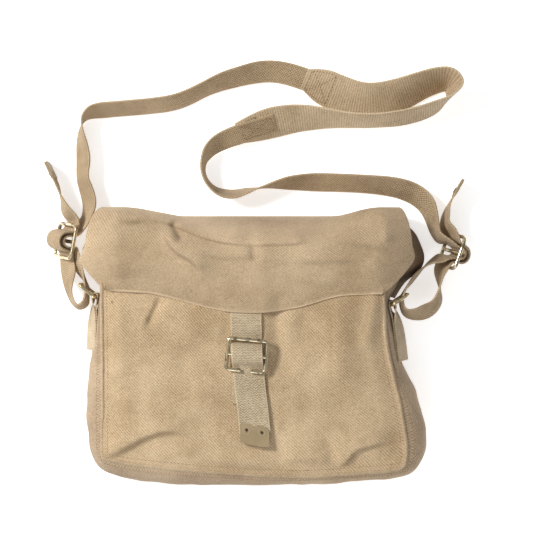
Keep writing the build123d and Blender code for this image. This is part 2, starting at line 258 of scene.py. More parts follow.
def tinted(colour, *shares):
    """A colour with its red, green and blue each scaled by a share."""
    return tuple([min(1, c * k) for c, k in zip(colour[:3], shares)] + [1])


def cloth(name, light, dark, weave, pitch, band=0.006, contrast=0.5, stain=0.3, width=0, spots=()):
    """A woven cotton: threads, slubs, faded and dirty patches, and a soft sheen. width gives webbing its
    paler selvedges, and spots are the middles and sizes of small brown stains, in metres. A piece's own
    stored shade values add painted shade to its creases and beside its seams, and its wear values lighten its
    rubbed edges."""
    finish = Finish(name, roughness=0.93)
    flat = finish.node("ShaderNodeUVMap", {"uv_map": "UVMap"})
    drift = finish.speckle(90, 2, roughness=0.5) - 0.5
    along, across, _ = finish.axes(flat)
    threads = weave(along + drift * 0.0011, across + drift * 0.0009, pitch, band)
    slubs = finish.speckle(850, 3, roughness=0.8).above(0.3, 0.7)
    patches = finish.speckle(18, 6)
    dirt = finish.speckle(42, 6).above(0.52, 0.72)
    shade = threads * contrast + slubs * 0.5 + (patches - 0.5) * 1.1 + 0.22 - contrast * 0.35
    base = finish.mix(shade, dark, light)
    tone = finish.mix(dirt * stain, base, tinted(dark, 0.90, 0.84, 0.74))
    if width:
        selvedge = (across - width / 2).absolute().above(width / 2 - 0.0014, width / 2 - 0.0006)
        tone = finish.mix(selvedge * 0.3, tone, tinted(light, 1.22, 1.22, 1.22))
    place_x, place_y, _ = finish.axes(finish.place())
    for spot_x, spot_y, size in spots:
        far_x, far_y = place_x - spot_x + drift * size, place_y - spot_y
        far = far_x * far_x + far_y * far_y
        tone = finish.mix((1 - far.above(0, size * size)) * 0.55, tone, STAIN_BROWN)
    # Painted shade: a value stored per point darkens the cloth in creases and beside seams, where shade
    # falls.
    painted_shade = finish.node("ShaderNodeAttribute", {"attribute_name": "painted_shade"}, output=2)
    wear = finish.node("ShaderNodeAttribute", {"attribute_name": "wear"}, output=2)
    tone = finish.mix(painted_shade, tone, tinted(dark, 0.55, 0.55, 0.55))
    tone = finish.mix(wear, tone, tinted(light, 1.2, 1.2, 1.2))
    finish.colour(tone)
    finish.bump(threads * 0.7 + slubs * 0.3, THREAD_DEPTH)
    finish.shader.inputs["Sheen Weight"].default_value = 0.12
    finish.shader.inputs["Sheen Roughness"].default_value = 0.5
    finish.shader.inputs["Specular IOR Level"].default_value = 0.2
    return finish


# Each stain on the front: its middle and its size
STAINS = [(-0.1175, 0.0425, 0.0015), (-0.1285, -0.008, 0.0013)]
front_cloth = cloth(
    "front_twill", rgb(233, 208, 172), rgb(154, 126, 90), twill, 0.0019, contrast=0.52, spots=STAINS
)
flap_cloth = cloth(
    "flap_canvas", rgb(221, 197, 164), rgb(152, 127, 96), twill_back, 0.0018, contrast=0.44, stain=0.12
)
side_cloth = cloth(
    "side_canvas", rgb(210, 186, 156), rgb(130, 106, 80), plain, 0.0021, contrast=0.55, stain=0.2
)
back_cloth = cloth("back_canvas", rgb(200, 176, 138), rgb(150, 124, 88), plain, 0.0017, contrast=0.4)
seam_cloth = cloth("seam_canvas", rgb(220, 196, 162), rgb(136, 112, 84), plain, 0.0021, stain=0.2)
# Painted shade: a darker copy of the flap's canvas, for the right ear, which lies in shadow.
painted_shade_ear_cloth = cloth("ear_canvas_painted_shade", rgb(146, 120, 92), rgb(88, 68, 48), plain, 0.0017, contrast=0.4)
closing_cloth = cloth(
    "closing_herringbone", rgb(228, 210, 178), rgb(134, 113, 84), herringbone, 0.0021, 0.0029, width=0.0254
)
narrow_cloth = cloth(
    "narrow_webbing", rgb(200, 176, 143), rgb(112, 92, 66), plain, 0.0024, contrast=0.85, width=0.019
)
wide_cloth = cloth(
    "wide_ribbed", rgb(222, 200, 168), rgb(140, 118, 88), ribbed, 0.0021, 0.0012, contrast=0.42, width=0.032
)
chape_cloth = cloth("chape_webbing", rgb(222, 202, 170), rgb(134, 112, 82), plain, 0.0021, contrast=0.6)
print("cloth finishes", len(bpy.data.materials))

# %% [markdown]
# Brass and thread. The fittings are brass wire and sheet, polished where straps and hands rub them and
# dull brown where nothing does. The strap ends were painted khaki and have worn through at their edges.
# Sewing thread is a twisted cotton, a little paler than the cloth.
# %% Metal and thread finishes


def brass(name, bright, dull, wear, roughness):
    finish = Finish(name, roughness=roughness, metallic=1.0)
    tarnish = finish.speckle(150, 6).above(0.5 - wear, 0.62 - wear * 0.5)
    fine = finish.speckle(900, 3)
    finish.colour(finish.mix(tarnish * 0.85 + fine * 0.1, bright, dull))
    finish.put(finish.shader.inputs["Roughness"], roughness + tarnish * 0.28 + fine * 0.08)
    finish.put(finish.shader.inputs["Metallic"], 1 - tarnish * 0.45)
    finish.bump(fine, 0.00006)
    return finish


buckle_brass = brass("buckle_brass", rgb(228, 214, 182), rgb(84, 68, 44), 0.03, 0.2)
ring_brass = brass("ring_brass", rgb(236, 220, 180), rgb(92, 74, 46), 0.0, 0.18)
TIP_DENT_ALONG = 5.0  # from the scalloped edge, mm
TIP_DENT_SIDE = 0.26  # from the middle, as a share of the width
TIP_WIDTH_SQUARED = 0.00058  # in metres, for round dents on a map that runs 0 to 1 across
tip_paint = Finish("painted_tip", roughness=0.55, metallic=0.1)
scuffs = tip_paint.speckle(260, 6).above(0.56, 0.66)
tone = tip_paint.speckle(70, 4)
painted = tip_paint.mix(tone, rgb(134, 115, 84), rgb(178, 158, 122))
tip_tone = tip_paint.mix(scuffs * 0.3, painted, rgb(200, 182, 140))
# Painted shade in the two dimples: a near-black patch round each dent's middle stands for the shadow in the
# recess.
dent_flat = tip_paint.node("ShaderNodeUVMap", {"uv_map": "UVMap"})
dent_along, dent_across, _ = tip_paint.axes(dent_flat)
dent_side = (dent_across - 0.5).absolute() - TIP_DENT_SIDE
dent_ahead = dent_along - TIP_DENT_ALONG * MM
dent_far = (dent_ahead * dent_ahead + dent_side * dent_side * TIP_WIDTH_SQUARED).root()
dent_painted_shade = 1 - dent_far.above(0.0015, 0.0023)
tip_paint.colour(tip_paint.mix(dent_painted_shade, tip_tone, rgb(52, 38, 22)))
tip_paint.put(tip_paint.shader.inputs["Metallic"], scuffs * 0.7)
tip_paint.bump(tip_paint.speckle(800, 4), 0.00008)
thread = Finish("sewing_thread", roughness=0.8)
twist = thread.speckle(1500, 3)
thread.colour(thread.mix(twist, rgb(150, 126, 88), rgb(222, 203, 164)))
thread.bump(twist, 0.0001)
dark_thread = Finish("dark_sewing_thread", roughness=0.85)
dark_twist = dark_thread.speckle(1500, 3)
dark_thread.colour(dark_thread.mix(dark_twist, rgb(104, 70, 46), rgb(148, 110, 78)))
dark_thread.bump(dark_twist, 0.0001)
print("metal and thread finishes ready")

# %% [markdown]
# A sheet of cloth. Every cloth piece starts as Blender's grid, added flat. Its points are then laid where
# a function of their place in the sheet says, u along it and v across, and Solidify gives it thickness.
# This keeps the grid's UV map, which is scaled to the sheet's real size for the weave. Edge lines come from
# NURBS curves through a few given points, because cloth and webbing have no sharp corners.
# %% Sheet tools


def smooth_line(points, steps=8):
    """Points along the NURBS curve of order 3 that listed points in millimetres control."""
    curve = bpy.data.curves.new("line", "CURVE")
    curve.dimensions = "3D"
    spline = curve.splines.new("NURBS")
    spline.points.add(len(points) - 1)
    for place, point in zip(spline.points, points):
        place.co = (*[value * MM for value in point], 1)
    spline.order_u = 3
    spline.use_endpoint_u = True
    spline.resolution_u = steps
    holder = bpy.data.objects.new("line", curve)
    mesh = bpy.data.meshes.new_from_object(holder)
    line = np.array([v.co for v in mesh.vertices])
    bpy.data.objects.remove(holder)
    bpy.data.meshes.remove(mesh)
    return line


def pick(line, share):
    """The places at these shares of the way along a line of points."""
    steps = np.r_[0, np.cumsum(np.linalg.norm(np.diff(line, axis=0), axis=1))]
    return np.stack([np.interp(share, steps / steps[-1], part) for part in line.T], axis=-1)


def length_of(line):
    return float(np.linalg.norm(np.diff(line, axis=0), axis=1).sum())


def matched(lines, share):
    """The places at these shares of lines that run side by side. The first two set the pace."""
    middle = (lines[0] + lines[1]) / 2
    steps = np.r_[0, np.cumsum(np.linalg.norm(np.diff(middle, axis=0), axis=1))]
    shares = steps / steps[-1]
    return [np.stack([np.interp(share, shares, part) for part in line.T], axis=-1) for line in lines]


def lay(name, columns, rows, place, flat):
    """A grid of cloth laid by place(u, v), its UV map in metres."""
    deselect()
    bpy.ops.mesh.primitive_grid_add(x_subdivisions=columns, y_subdivisions=rows, size=1)
    piece = bpy.context.object
    piece.name = name
    mesh = piece.data
    start = np.empty(len(mesh.vertices) * 3)
    mesh.vertices.foreach_get("co", start)
    start = start.reshape(-1, 3) + 0.5
    mesh.vertices.foreach_set("co", place(start[:, 0], start[:, 1]).ravel())
    layer = mesh.uv_layers[0]
    layer.name = "UVMap"
    uv = np.empty(len(mesh.loops) * 2)
    layer.data.foreach_get("uv", uv)
    layer.data.foreach_set("uv", (uv.reshape(-1, 2) * np.array(flat)).ravel())
    mesh.update()
    return piece


def apply_all(piece):
    deselect()
    piece.select_set(True)
    bpy.context.view_layer.objects.active = piece
    for modifier in list(piece.modifiers):
        bpy.ops.object.modifier_apply(modifier=modifier.name)


def thicken(piece, thickness, rounding=0.0):
    """Gives a sheet its thickness about its middle, with softened edges, and shades it smooth."""
    solidify = piece.modifiers.new("thickness", "SOLIDIFY")
    solidify.thickness = thickness * MM
    solidify.offset = 0
    solidify.use_even_offset = True
    if rounding:
        bevel = piece.modifiers.new("rounding", "BEVEL")
        bevel.width = rounding * MM
        bevel.segments = 2
        bevel.limit_method = "ANGLE"
        bevel.angle_limit = math.radians(60)
    apply_all(piece)
    bpy.ops.object.mode_set(mode="EDIT")
    bpy.ops.mesh.select_all(action="SELECT")
    bpy.ops.mesh.normals_make_consistent(inside=False)
    bpy.ops.object.mode_set(mode="OBJECT")
    bpy.ops.object.shade_smooth_by_angle(angle=math.radians(50))
    return piece


def dress(piece, finish, body=None, stands_for=()):
    """A piece's finish, body and the CAD nodes it stands for."""
    piece.data.materials.clear()
    piece.data.materials.append(finish.material)
    if body:
        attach(piece, body)
    if stands_for:
        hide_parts(*stands_for)
    return piece


def spot(x, y):
    """Places on the floor plane, for ripple to read."""
    return np.stack([x, y, x * 0], axis=-1)


def ripple(points, size, seed):
    """Smooth noise, -1 to 1, at places in metres; size is the width of its features in millimetres."""
    shift = Vector((seed * 3.1, seed * 7.7, seed * 1.3))
    return np.array([noise.noise(Vector(p) / (size * MM) + shift) for p in points])


def smoothstep(low, high, value):
    t = np.clip((value - low) / (high - low), 0, 1)
    return t * t * (3 - 2 * t)


def beside(x, y, path):
    """How far places are from a path in millimetres, left of it positive, and how far along it."""
    line = smooth_line([(px, py, 0) for px, py in path], 6)[:, :2]
    here = np.stack([x, y], axis=-1)
    nearest = np.full(len(x), 1e9)
    side = np.zeros(len(x))
    share = np.zeros(len(x))
    total = len(line) - 1
    for i in range(total):
        a, b = line[i], line[i + 1]
        d = b - a
        t = np.clip(((here - a) @ d) / (d @ d), 0, 1)
        gap = here - (a + t[:, None] * d)
        dist = np.hypot(gap[:, 0], gap[:, 1])
        turn = d[0] * gap[:, 1] - d[1] * gap[:, 0]
        closer = dist < nearest
        nearest = np.where(closer, dist, nearest)
        side = np.where(closer, turn, side)
        share = np.where(closer, (i + t) / total, share)
    return nearest / MM * np.where(side > 0, 1, -1), share


def fold_height(x, y, path, height, steep, gentle, fade=0.24):
    """The height in metres of a fold along a path in millimetres: steep on its right, gentle on its
    left, and fading out over a share of the path at each end."""
    off, share = beside(x, y, path)
    ends = smoothstep(0, fade, share) * smoothstep(0, fade, 1 - share)
    return height * MM * np.exp(-((off / np.where(off > 0, gentle, steep)) ** 2)) * ends


def paint(piece, name, amount):
    """Stores amount(x, y) at every point of a sheet, for its finish to read by name."""
    mesh = piece.data
    spots = np.empty(len(mesh.vertices) * 3)
    mesh.vertices.foreach_get("co", spots)
    spots = spots.reshape(-1, 3)
    layer = mesh.attributes.new(name, "FLOAT", "POINT")
    layer.data.foreach_set("value", amount(spots[:, 0], spots[:, 1]).astype(np.float32))


def crease_painted_shade(folds):
    """Painted shade along each fold, more for the taller ones: on the steep side of a ridge, which faces away
    from the key light, and along the middle of a dent.
    """

    def amount(x, y):
        total = np.zeros(len(x))
        for path, height, steep, _ in folds:
            off, share = beside(x, y, path)
            centre = -0.75 * steep if height > 0 else 0
            reach = max(1.0, min(steep * 0.6, 2.6))
            ends = smoothstep(0, 0.3, share) * smoothstep(0, 0.3, 1 - share)
            total += 0.12 * abs(height) * np.exp(-(((off - centre) / reach) ** 2)) * ends / (1 + steep * 0.12)
        return np.clip(total, 0, 0.6)

    return amount


print("sheet tools ready")

# %% [markdown]
# The seam lines. Front panel and side strip meet along one line, the sides and bottom of the bag, and so do
# back panel and side strip. Both are set by listed stations, close to those of the CAD solid but softer at
# the corners: a point on the back seam, a point on the front seam, the way the side bulges there in degrees,
# and how far in millimetres.
# %% Seam stations

BACK, FRONT = 0, 2  # where each seam's point starts in a station
BACK_Z, BACK_SEAM_Z, FRONT_SEAM_Z = 0.8, 1.4, 44.6

SEAM = [
    (-124, 108, -125.5, 79, 180, 1), (-127, 62, -126, 52, 180, 1.5), (-127.5, 44, -126, 42, 180, 4),
    (-127.5, 20, -125.5, 20, 180, 9), (-127.5, -20, -125, -20, 180, 13.5),
    (-127, -60, -125, -60, 180, 14), (-126.5, -74, -125.2, -74, 182, 13.5),
    (-125, -84, -125.4, -80.5, 200, 11.5), (-121.5, -90, -124.4, -84.4, 225, 11.5),
    (-115, -94, -120.5, -86.4, 248, 12), (-103, -97, -104, -89.8, 265, 13),
    (-70, -99, -70, -93.5, 269, 14), (-10, -100, -10, -98.5, 270, 12), (40, -100, 40, -100.5, 270, 10),
    (85, -98, 85, -97.5, 272, 9.5), (106, -96, 109, -95.8, 276, 10), (116, -93, 118.5, -94.3, 300, 11),
    (121.5, -88, 122.2, -91, 325, 14), (125, -80, 123.5, -83, 345, 17), (126, -70, 123.3, -72, 358, 19),
    (126, -58, 121.5, -58, 360, 18), (124, -35, 116.5, -35, 360, 14), (121, -10, 110, -10, 360, 6),
    (118.5, 15, 105.8, 15, 360, 7), (115.5, 30, 105.2, 30, 360, 5), (112, 42, 104.8, 40, 360, 2),
    (112, 56, 104.5, 50, 360, 8), (112.5, 70, 104.8, 58, 360, 12), (113, 92, 105.5, 70, 360, 12),
    (113, 108, 106, 79, 360, 8),
]
CORNER_LEFT, CORNER_RIGHT = 8, 17


def edge(stations, seam, z, end=(), steps=10):
    """The smooth line of one seam through some stations, and on to an end point."""
    return smooth_line([(row[seam], row[seam + 1], z) for row in stations] + list(end), steps)


def facing(degrees, reach):
    turn = math.radians(degrees)
    return 1000 * math.cos(turn), 1000 * math.sin(turn), reach


low_seam = edge(SEAM, BACK, BACK_SEAM_Z, steps=12)
high_seam = edge(SEAM, FRONT, FRONT_SEAM_Z, steps=12)
seam_out = smooth_line([facing(degrees, reach) for *_, degrees, reach in SEAM], 12)
print("front seam is", round(length_of(high_seam), 3), "m round")

# %% [markdown]
# Front panel. On the real bag it is one piece of twill that papers have pushed up into a low pillow, with a
# few creases where the cloth has slumped. It could be draped by simulation, but the creases are where they
# are because of years of use, so they are laid one by one: a patch between the four seam lines, raised in the
# middle, with each crease a fold that is steep on one side and gentle on the other.
# %% Front panel


def coons(left, right, low, high, u, v):
    """A patch between four lines: u goes from left to right, v from low to high."""
    across = pick(low, u) * (1 - v[:, None]) + pick(high, u) * v[:, None]
    up = pick(left, v) * (1 - u[:, None]) + pick(right, v) * u[:, None]
    corners = (
        low[0] * ((1 - u) * (1 - v))[:, None]
        + low[-1] * (u * (1 - v))[:, None]
        + high[0] * ((1 - u) * v)[:, None]
        + high[-1] * (u * v)[:, None]
    )
    return across + up - corners


LEFT_SIDE = SEAM[: CORNER_LEFT + 1][::-1]
LOW_SIDE = SEAM[CORNER_LEFT : CORNER_RIGHT + 1]
RIGHT_SIDE = SEAM[CORNER_RIGHT:]
front_left = edge(LEFT_SIDE, FRONT, FRONT_SEAM_Z)
front_low = edge(LOW_SIDE, FRONT, FRONT_SEAM_Z)
front_right = edge(RIGHT_SIDE, FRONT, FRONT_SEAM_Z)
front_high = smooth_line([(x, y, FRONT_SEAM_Z) for x, y in ((-125.5, 79), (-60, 81), (40, 81), (106, 79))])
# Each crease: its path, height, steep and gentle widths
FRONT_FOLDS = [
    ([(-136, -88), (-120, -81), (-106, -74), (-92, -66), (-76, -60.5), (-60, -61), (-46, -67)], 5.2, 4.2, 17),
    ([(-77, 50), (-81, 40), (-86, 30), (-91, 18)], -2.8, 2.4, 5),
    ([(-90, 34), (-96, 20), (-94, 2)], 1.8, 6, 9),
    ([(62, -92), (70, -90), (76, -85), (80, -78), (92, -74), (106, -71), (118, -72)], 4.0, 2.6, 14),
    ([(20, -86), (44, -82), (62, -88)], 2.0, 3.5, 10),
    ([(100, 56), (97, 36), (91, 16), (88, -2)], 3.2, 4.5, 7),
    ([(70, 54), (66, 24), (70, 0), (64, -34)], 3.6, 9, 12),
    ([(42, 40), (34, 22), (36, 2)], -1.8, 7, 10),
    ([(13, 52), (15, 28), (17, 4), (20, -22)], -3.2, 6, 11),
    ([(26, -10), (44, -24), (60, -50)], 1.8, 8, 14),
    ([(-112, -36), (-96, -46), (-78, -44)], 1.3, 6, 12),
    ([(-30, 20), (-46, 4), (-70, -2)], -1.3, 7, 12),
    ([(-114, 48), (-109, 24), (-111, -6), (-108, -34)], 2.0, 6, 8),
    ([(-66, 34), (-40, 16), (-24, 14)], 1.6, 6, 16),
    ([(-52, -8), (-44, -34), (-50, -58)], 1.4, 9, 14),
    ([(-40, -84), (-10, -90), (20, -90)], 1.6, 4, 9),
]
# The dome's profile up the middle of the front, and the front's own middle and half width
MIDDLE_X, HALF_WIDTH, DOME_RIM = -8, 126, 45.0
DOME_Y = [-106, -92, -70, -30, 10, 40, 62, 82]
DOME_Z = [47.2, 48.8, 50.6, 51.6, 51.6, 50.8, 49.6, 48.0]


def front_height(x, y, rim=1.0):
    """How high the front stands at places in metres; rim is 0 at its seams and 1 away from them."""
    side = 5.5 * np.abs((x / MM - MIDDLE_X) / HALF_WIDTH) ** 3
    z = (DOME_RIM + (np.interp(y / MM, DOME_Y, DOME_Z) - side - DOME_RIM) * rim) * MM
    for path, rise, steep, gentle in FRONT_FOLDS:
        z = z + fold_height(x, y, path, rise, steep, gentle)
    return z + (ripple(spot(x, y), 34, 1) * 1.1 + ripple(spot(x, y), 14, 2) * 0.4) * MM * rim


def front_place(u, v):
    flat = coons(front_left, front_right, front_low, front_high, u, v)
    rim = (smoothstep(0, 0.06, u) * smoothstep(0, 0.06, 1 - u) * smoothstep(0, 0.07, v)) ** 0.7
    flat[:, 2] = front_height(flat[:, 0], flat[:, 1], rim)
    return flat


front = lay("front_cloth", 210, 156, front_place, (0.245, 0.178))
# Painted shade in the front's creases.
paint(front, "painted_shade", crease_painted_shade(FRONT_FOLDS))
thicken(front, 1.2)
dress(front, front_cloth, "bag", ["front_panel"])
print("front panel faces", len(front.data.polygons))

# %% [markdown]
# Side strip. One long strip of canvas goes down the left side, round the bottom and up the right side, and
# it bellies out where the contents press. A strip between the two seam lines, pushed outwards most at its
# middle, gives that, with small puckers gathered along the seams.
# %% Side strip

STRIP_LENGTH = 0.7  # the seams' rough length, which spaces the wrinkles along them
FRONT_PATH = [(fx, fy) for _, _, fx, fy, _, _ in SEAM]

def side_place(u, v):
    low, high, out = matched([low_seam, high_seam, seam_out], u)
    direction = out[:, :2] / np.linalg.norm(out[:, :2], axis=1)[:, None]
    swell = out[:, 2] * np.sin(np.pi * v**1.2) ** 0.5
    place = low + (high - low) * v[:, None]
    wrinkle = ripple(spot(u * STRIP_LENGTH, v * 0.02), 15, 3) * 1.5
    wrinkle += ripple(spot(u * STRIP_LENGTH, v * 0.05), 40, 4) * 1.6
    swell = swell + wrinkle * MM * np.sin(np.pi * v**1.2) ** 0.8
    place[:, :2] += direction * swell[:, None]
    return place


def seam_painted_shade(x, y):
    """Painted shadow of the front seam's fold: a thin dark line on the strip, 3 mm from the front seam."""
    return 0.4 * np.exp(-(((np.abs(beside(x, y, FRONT_PATH)[0]) - 3.0) / 0.7) ** 2))


side = lay("side_cloth", 420, 26, side_place, (length_of(high_seam), 0.056))
# Painted shadow beside the front seam's fold.
paint(side, "painted_shade", seam_painted_shade)
thicken(side, 1.2)
dress(side, side_cloth, "bag", ["gusset"])
print("side strip faces", len(side.data.polygons))

# %% [markdown]
# Seams. The front panel and the side strip were sewn with their edges outwards, which leaves a raised fold
# of cloth all the way round, with a row of stitches beside it. The fold is a narrow strip along the seam
# line, rolled over into a half round. The back seam is the same, pressed flat by the bag's weight.
# %% Seam folds


def seam_fold(name, line, lift, reach, rise, stands_for):
    def place(u, v):
        base, _, out = matched([line, line, seam_out], u)
        direction = out[:, :2] / np.linalg.norm(out[:, :2], axis=1)[:, None]
        sway = ripple(spot(u * STRIP_LENGTH, u * 0), 9, 5)
        wobble = ripple(spot(u * STRIP_LENGTH, u * 0), 22, 25)
        where = base.copy()
        where[:, :2] += direction * ((v * reach - 0.9 + 0.7 * wobble) * MM)[:, None]
        where[:, 2] += (lift + rise * np.sin(np.pi * v) * (1 + 0.4 * sway)) * MM
        return where

    piece = lay(name, 360, 8, place, (length_of(line), 0.006))
    thicken(piece, 1.0, 0.3)
    dress(piece, seam_cloth, "bag", stands_for)
    return piece


front_fold = seam_fold("front_seam_fold", high_seam, 0.2, 3.0, 1.3, ["front_seam"])
back_fold = seam_fold("back_seam_fold", low_seam, -0.9, 3.4, 0.7, ["back_seam"])
print("seam folds", front_fold.name, back_fold.name)

# %% [markdown]
# Back panel. It lies on the floor under everything, so it is nearly flat. A low sheet with a faint swell
# is enough, because only its edge and its inside under the lifted flap are ever seen.
# %% Back panel

BACK_ENDS = [(-122.5, 114, BACK_Z), (114, 114, BACK_Z)]
back_left = edge(LEFT_SIDE, BACK, BACK_Z, BACK_ENDS[:1])
back_low = edge(LOW_SIDE, BACK, BACK_Z)
back_right = edge(RIGHT_SIDE, BACK, BACK_Z, BACK_ENDS[1:])
back_high = smooth_line([BACK_ENDS[0], (0, 114.4, BACK_Z), BACK_ENDS[1]])


def back_place(u, v):
    flat = coons(back_left, back_right, back_low, back_high, u, v)
    rim = 1
    for share in (u, 1 - u, v, 1 - v):
        rim = rim * smoothstep(0, 0.1, share)
    flat[:, 2] += rim * (0.5 + 0.4 * ripple(flat * (1, 1, 0), 30, 6)) * MM
    return flat


back = lay("back_cloth", 60, 54, back_place, (0.245, 0.212))
thicken(back, 1.4)
dress(back, back_cloth, "bag", ["back_panel"])
print("back panel faces", len(back.data.polygons))

# %% [markdown]
# Flap. One sheet of canvas comes up from the back, turns over a soft crease and lies on the front, wider
# than the bag, so that its sides droop. It is laid as two patches that share the crease line: a rising
# one behind, and a lying one in front, whose lower edge is the curved hem. The crease climbs towards the
# back at the left, where the cloth stands up, and a sharp dent runs down from it.
# %% Flap

CREASE_Y, CREASE_Z = 88.4, 51.9
CREASE_LEFT, CREASE_WIDTH = -141, 270.3
ROOT_LEFT, ROOT_WIDTH = -124, 240  # where the flap leaves the back panel
HEM_GAP = 1.4  # the least height of the flap's middle over the front
# The rising part behind the crease: y and z, near the flap's left end, in its middle and near its right end
RISES = [
    [(114.5, 2.2), (121.5, 12), (121.5, 27), (114, 41), (101, 49.5), (CREASE_Y, CREASE_Z)],
    [(114.5, 2.2), (112.6, 12), (107.2, 27), (101.3, 39), (94.5, 47.5), (CREASE_Y, CREASE_Z)],
    [(114.5, 2.2), (120.5, 14), (121.5, 28), (114.5, 40), (101, 48.5), (CREASE_Y, CREASE_Z)],
]
FLAP_LEFT = [(CREASE_LEFT, CREASE_Y), (-145.4, 79.5), (-146.4, 77), (-145, 74.6), (-133, 61), (-123.5, 52.5)]
FLAP_LEFT += [(-118.5, 51.5)]
FLAP_RIGHT = [(129.3, CREASE_Y), (131.6, 83), (131, 77), (122, 66), (112, 55), (104, 49.2)]
FLAP_HEM = [(-118.5, 51.5), (-90, 51), (-73, 47.4), (-56, 42.5), (-39, 38), (-22, 34.8), (4, 34)]
FLAP_HEM += [(23, 36.2), (41, 39.5), (62, 46.4), (76, 48.6), (104, 49.2)]
# The lying part, from hem to crease: y and z
FLAP_LIE = [(33, 54.3), (50, 54.5), (70, 54.6), (82, 53.9), (CREASE_Y, CREASE_Z)]
CREASE_SHARE = 0.42  # of the way along the grid
FLAP_FOLDS = [
    ([(-79, 108), (-74, 100), (-69, 91), (-62, 84), (-50, 78), (-42, 68), (-40, 58)], 5.4, 3.2, 14),
    ([(-71, 110), (-66, 100), (-60, 90)], -4.6, 2.4, 4.5),
    ([(-122, 118), (-114, 112), (-106, 109.5), (-97, 110.5), (-86, 110)], 3.0, 2.6, 6),
    (
        [(-97, 111), (-82, 111), (-66, 106), (-52, 100), (-38, 95), (-22, 91.5), (-4, 90), (20, 90.5)],
        4.4, 2.0, 13,
    ),
    ([(-8, 90.2), (10, 90.4), (30, 91), (46, 92.4)], 3.0, 1.8, 9),
    ([(-60, 86), (-44, 84), (-30, 80), (-14, 80), (8, 82)], 1.6, 2.6, 9),
    ([(2, 88), (4, 74), (2, 56)], 1.3, 3, 10),
    ([(-4, 92), (-2, 82), (0, 74)], -1.6, 3, 6),
    ([(20, 80), (44, 76), (70, 79), (96, 78)], 1.8, 3.4, 12),
    ([(50, 100), (76, 92), (98, 90), (118, 86)], 2.2, 4, 12),
    ([(90, 78), (100, 68), (108, 58)], 1.5, 5, 10),
    ([(-124, 92), (-114, 76), (-110, 60)], 1.8, 5, 12),
    ([(108, 114), (104, 102), (108, 90)], 2.6, 3, 9),
    ([(30, 66), (50, 60), (72, 58)], 1.2, 5, 9),
]


def flap_place(u, v):
    rear = np.clip(v / CREASE_SHARE, 0, 1)
    front_part = np.clip((v - CREASE_SHARE) / (1 - CREASE_SHARE), 0, 1)
    x_back = ROOT_LEFT + ROOT_WIDTH * u
    x_crease = CREASE_LEFT + CREASE_WIDTH * u
    profile = [pick(smooth_line([(0, y, z) for y, z in rise], 10), rear) for rise in RISES]
    to_left = (1 - smoothstep(0.06, 0.34, u))[:, None]
    to_right = smoothstep(0.72, 0.94, u)[:, None]
    rising = profile[1] * (1 - to_left - to_right) + profile[0] * to_left + profile[2] * to_right
    rising[:, 0] = (x_back + (x_crease - x_back) * smoothstep(0, 1, rear) ** 0.8) * MM
    crease = smooth_line([(x, CREASE_Y, CREASE_Z) for x in (CREASE_LEFT, 0, 129.3)])
    outline = (FLAP_LEFT, FLAP_RIGHT, FLAP_HEM)
    left, right, hem = [smooth_line([(x, y, CREASE_Z) for x, y in line], 10) for line in outline]
    lying = coons(left, right, crease, hem, u, front_part)
    lie_y, lie_z = zip(*FLAP_LIE)
    lying[:, 2] = np.interp(lying[:, 1] / MM, lie_y, lie_z) * MM
    place = np.where((v <= CREASE_SHARE)[:, None], rising, lying)
    x, y = place[:, 0], place[:, 1]
    off_middle = x / MM - MIDDLE_X
    sag = 4.6 * np.abs(off_middle / HALF_WIDTH) ** 3 + 3.2 * smoothstep(15, 30, np.abs(off_middle))
    place[:, 2] -= sag * smoothstep(0.2, 0.95, front_part) * MM
    droop_left = np.maximum(0, (-112 - x / MM) / 30) ** 1.7 * 15
    droop_right = np.maximum(0, (x / MM - 98) / 32) ** 1.7 * 13
    place[:, 2] -= (droop_left + droop_right) * smoothstep(0.1, 0.9, rear) * MM
    calm = smoothstep(0.12, 0.5, rear)
    for path, rise, steep, gentle in FLAP_FOLDS:
        place[:, 2] += fold_height(x, y, path, rise, steep, gentle) * calm
    soft = ripple(spot(u * 0.27, v * 0.16), 38, 7) * 1.2 + ripple(spot(u * 0.27, v * 0.16), 14, 8) * 0.55
    place[:, 2] += soft * MM * calm
    place[:, 1] += 0.4 * soft * MM * (1 - calm) * smoothstep(0, 0.2, rear)
    out = np.abs(2 * u - 1)
    lies = front_part > 0
    hemmed = np.maximum(smoothstep(0.905, 0.925, front_part), smoothstep(0.978, 0.985, out)) * lies
    rim = np.maximum(smoothstep(0.965, 1, front_part), smoothstep(0.988, 1, out)) * lies
    place[:, 2] += (0.6 * hemmed - 0.8 * rim) * MM
    over = (y > 0) & (front_part > 0) & (x > -0.124) & (x < 0.105)
    resting = front_height(x, y) + HEM_GAP * MM
    place[:, 2] = np.where(over, np.maximum(place[:, 2], resting), place[:, 2])
    return place


flap = lay("flap_cloth", 210, 168, flap_place, (0.262, 0.132))
# Painted shade in the flap's creases.
paint(flap, "painted_shade", crease_painted_shade(FLAP_FOLDS))
paint(flap, "wear", lambda x, y: 0.75 * np.exp(-((beside(x, y, FLAP_HEM)[0] / 1.1) ** 2)))
thicken(flap, 1.2, 0.35)
dress(flap, flap_cloth, None, ["flap_top", "flap_front"])
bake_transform(flap)
print("flap faces", len(flap.data.polygons))

# %% [markdown]
# Webbing. A strap is flat webbing of one width, which can only bend and twist. Its two edges are the
# lines to set: at each station the strap's middle, the way its top edge leans, and its height if it isn't
# standing on the floor. The sheet between the two smooth edges is the strap.
# %% Webbing tools

WEBBING = 1.4
NARROW = 19.0
WIDE = 32.0


def leaning(x, y, lean_x, lean_y, z=None, width=NARROW):
    """A station in millimetres: the strap's middle, its width direction and its width."""
    rise = math.sqrt(max(0.0, 1 - lean_x**2 - lean_y**2))
    if z is None:
        z = width / 2 * rise + WEBBING / 2 + 0.2
    return Vector((x, y, z)), Vector((lean_x, lean_y, rise)), width


def route(rows):
    return [leaning(*row) for row in rows]


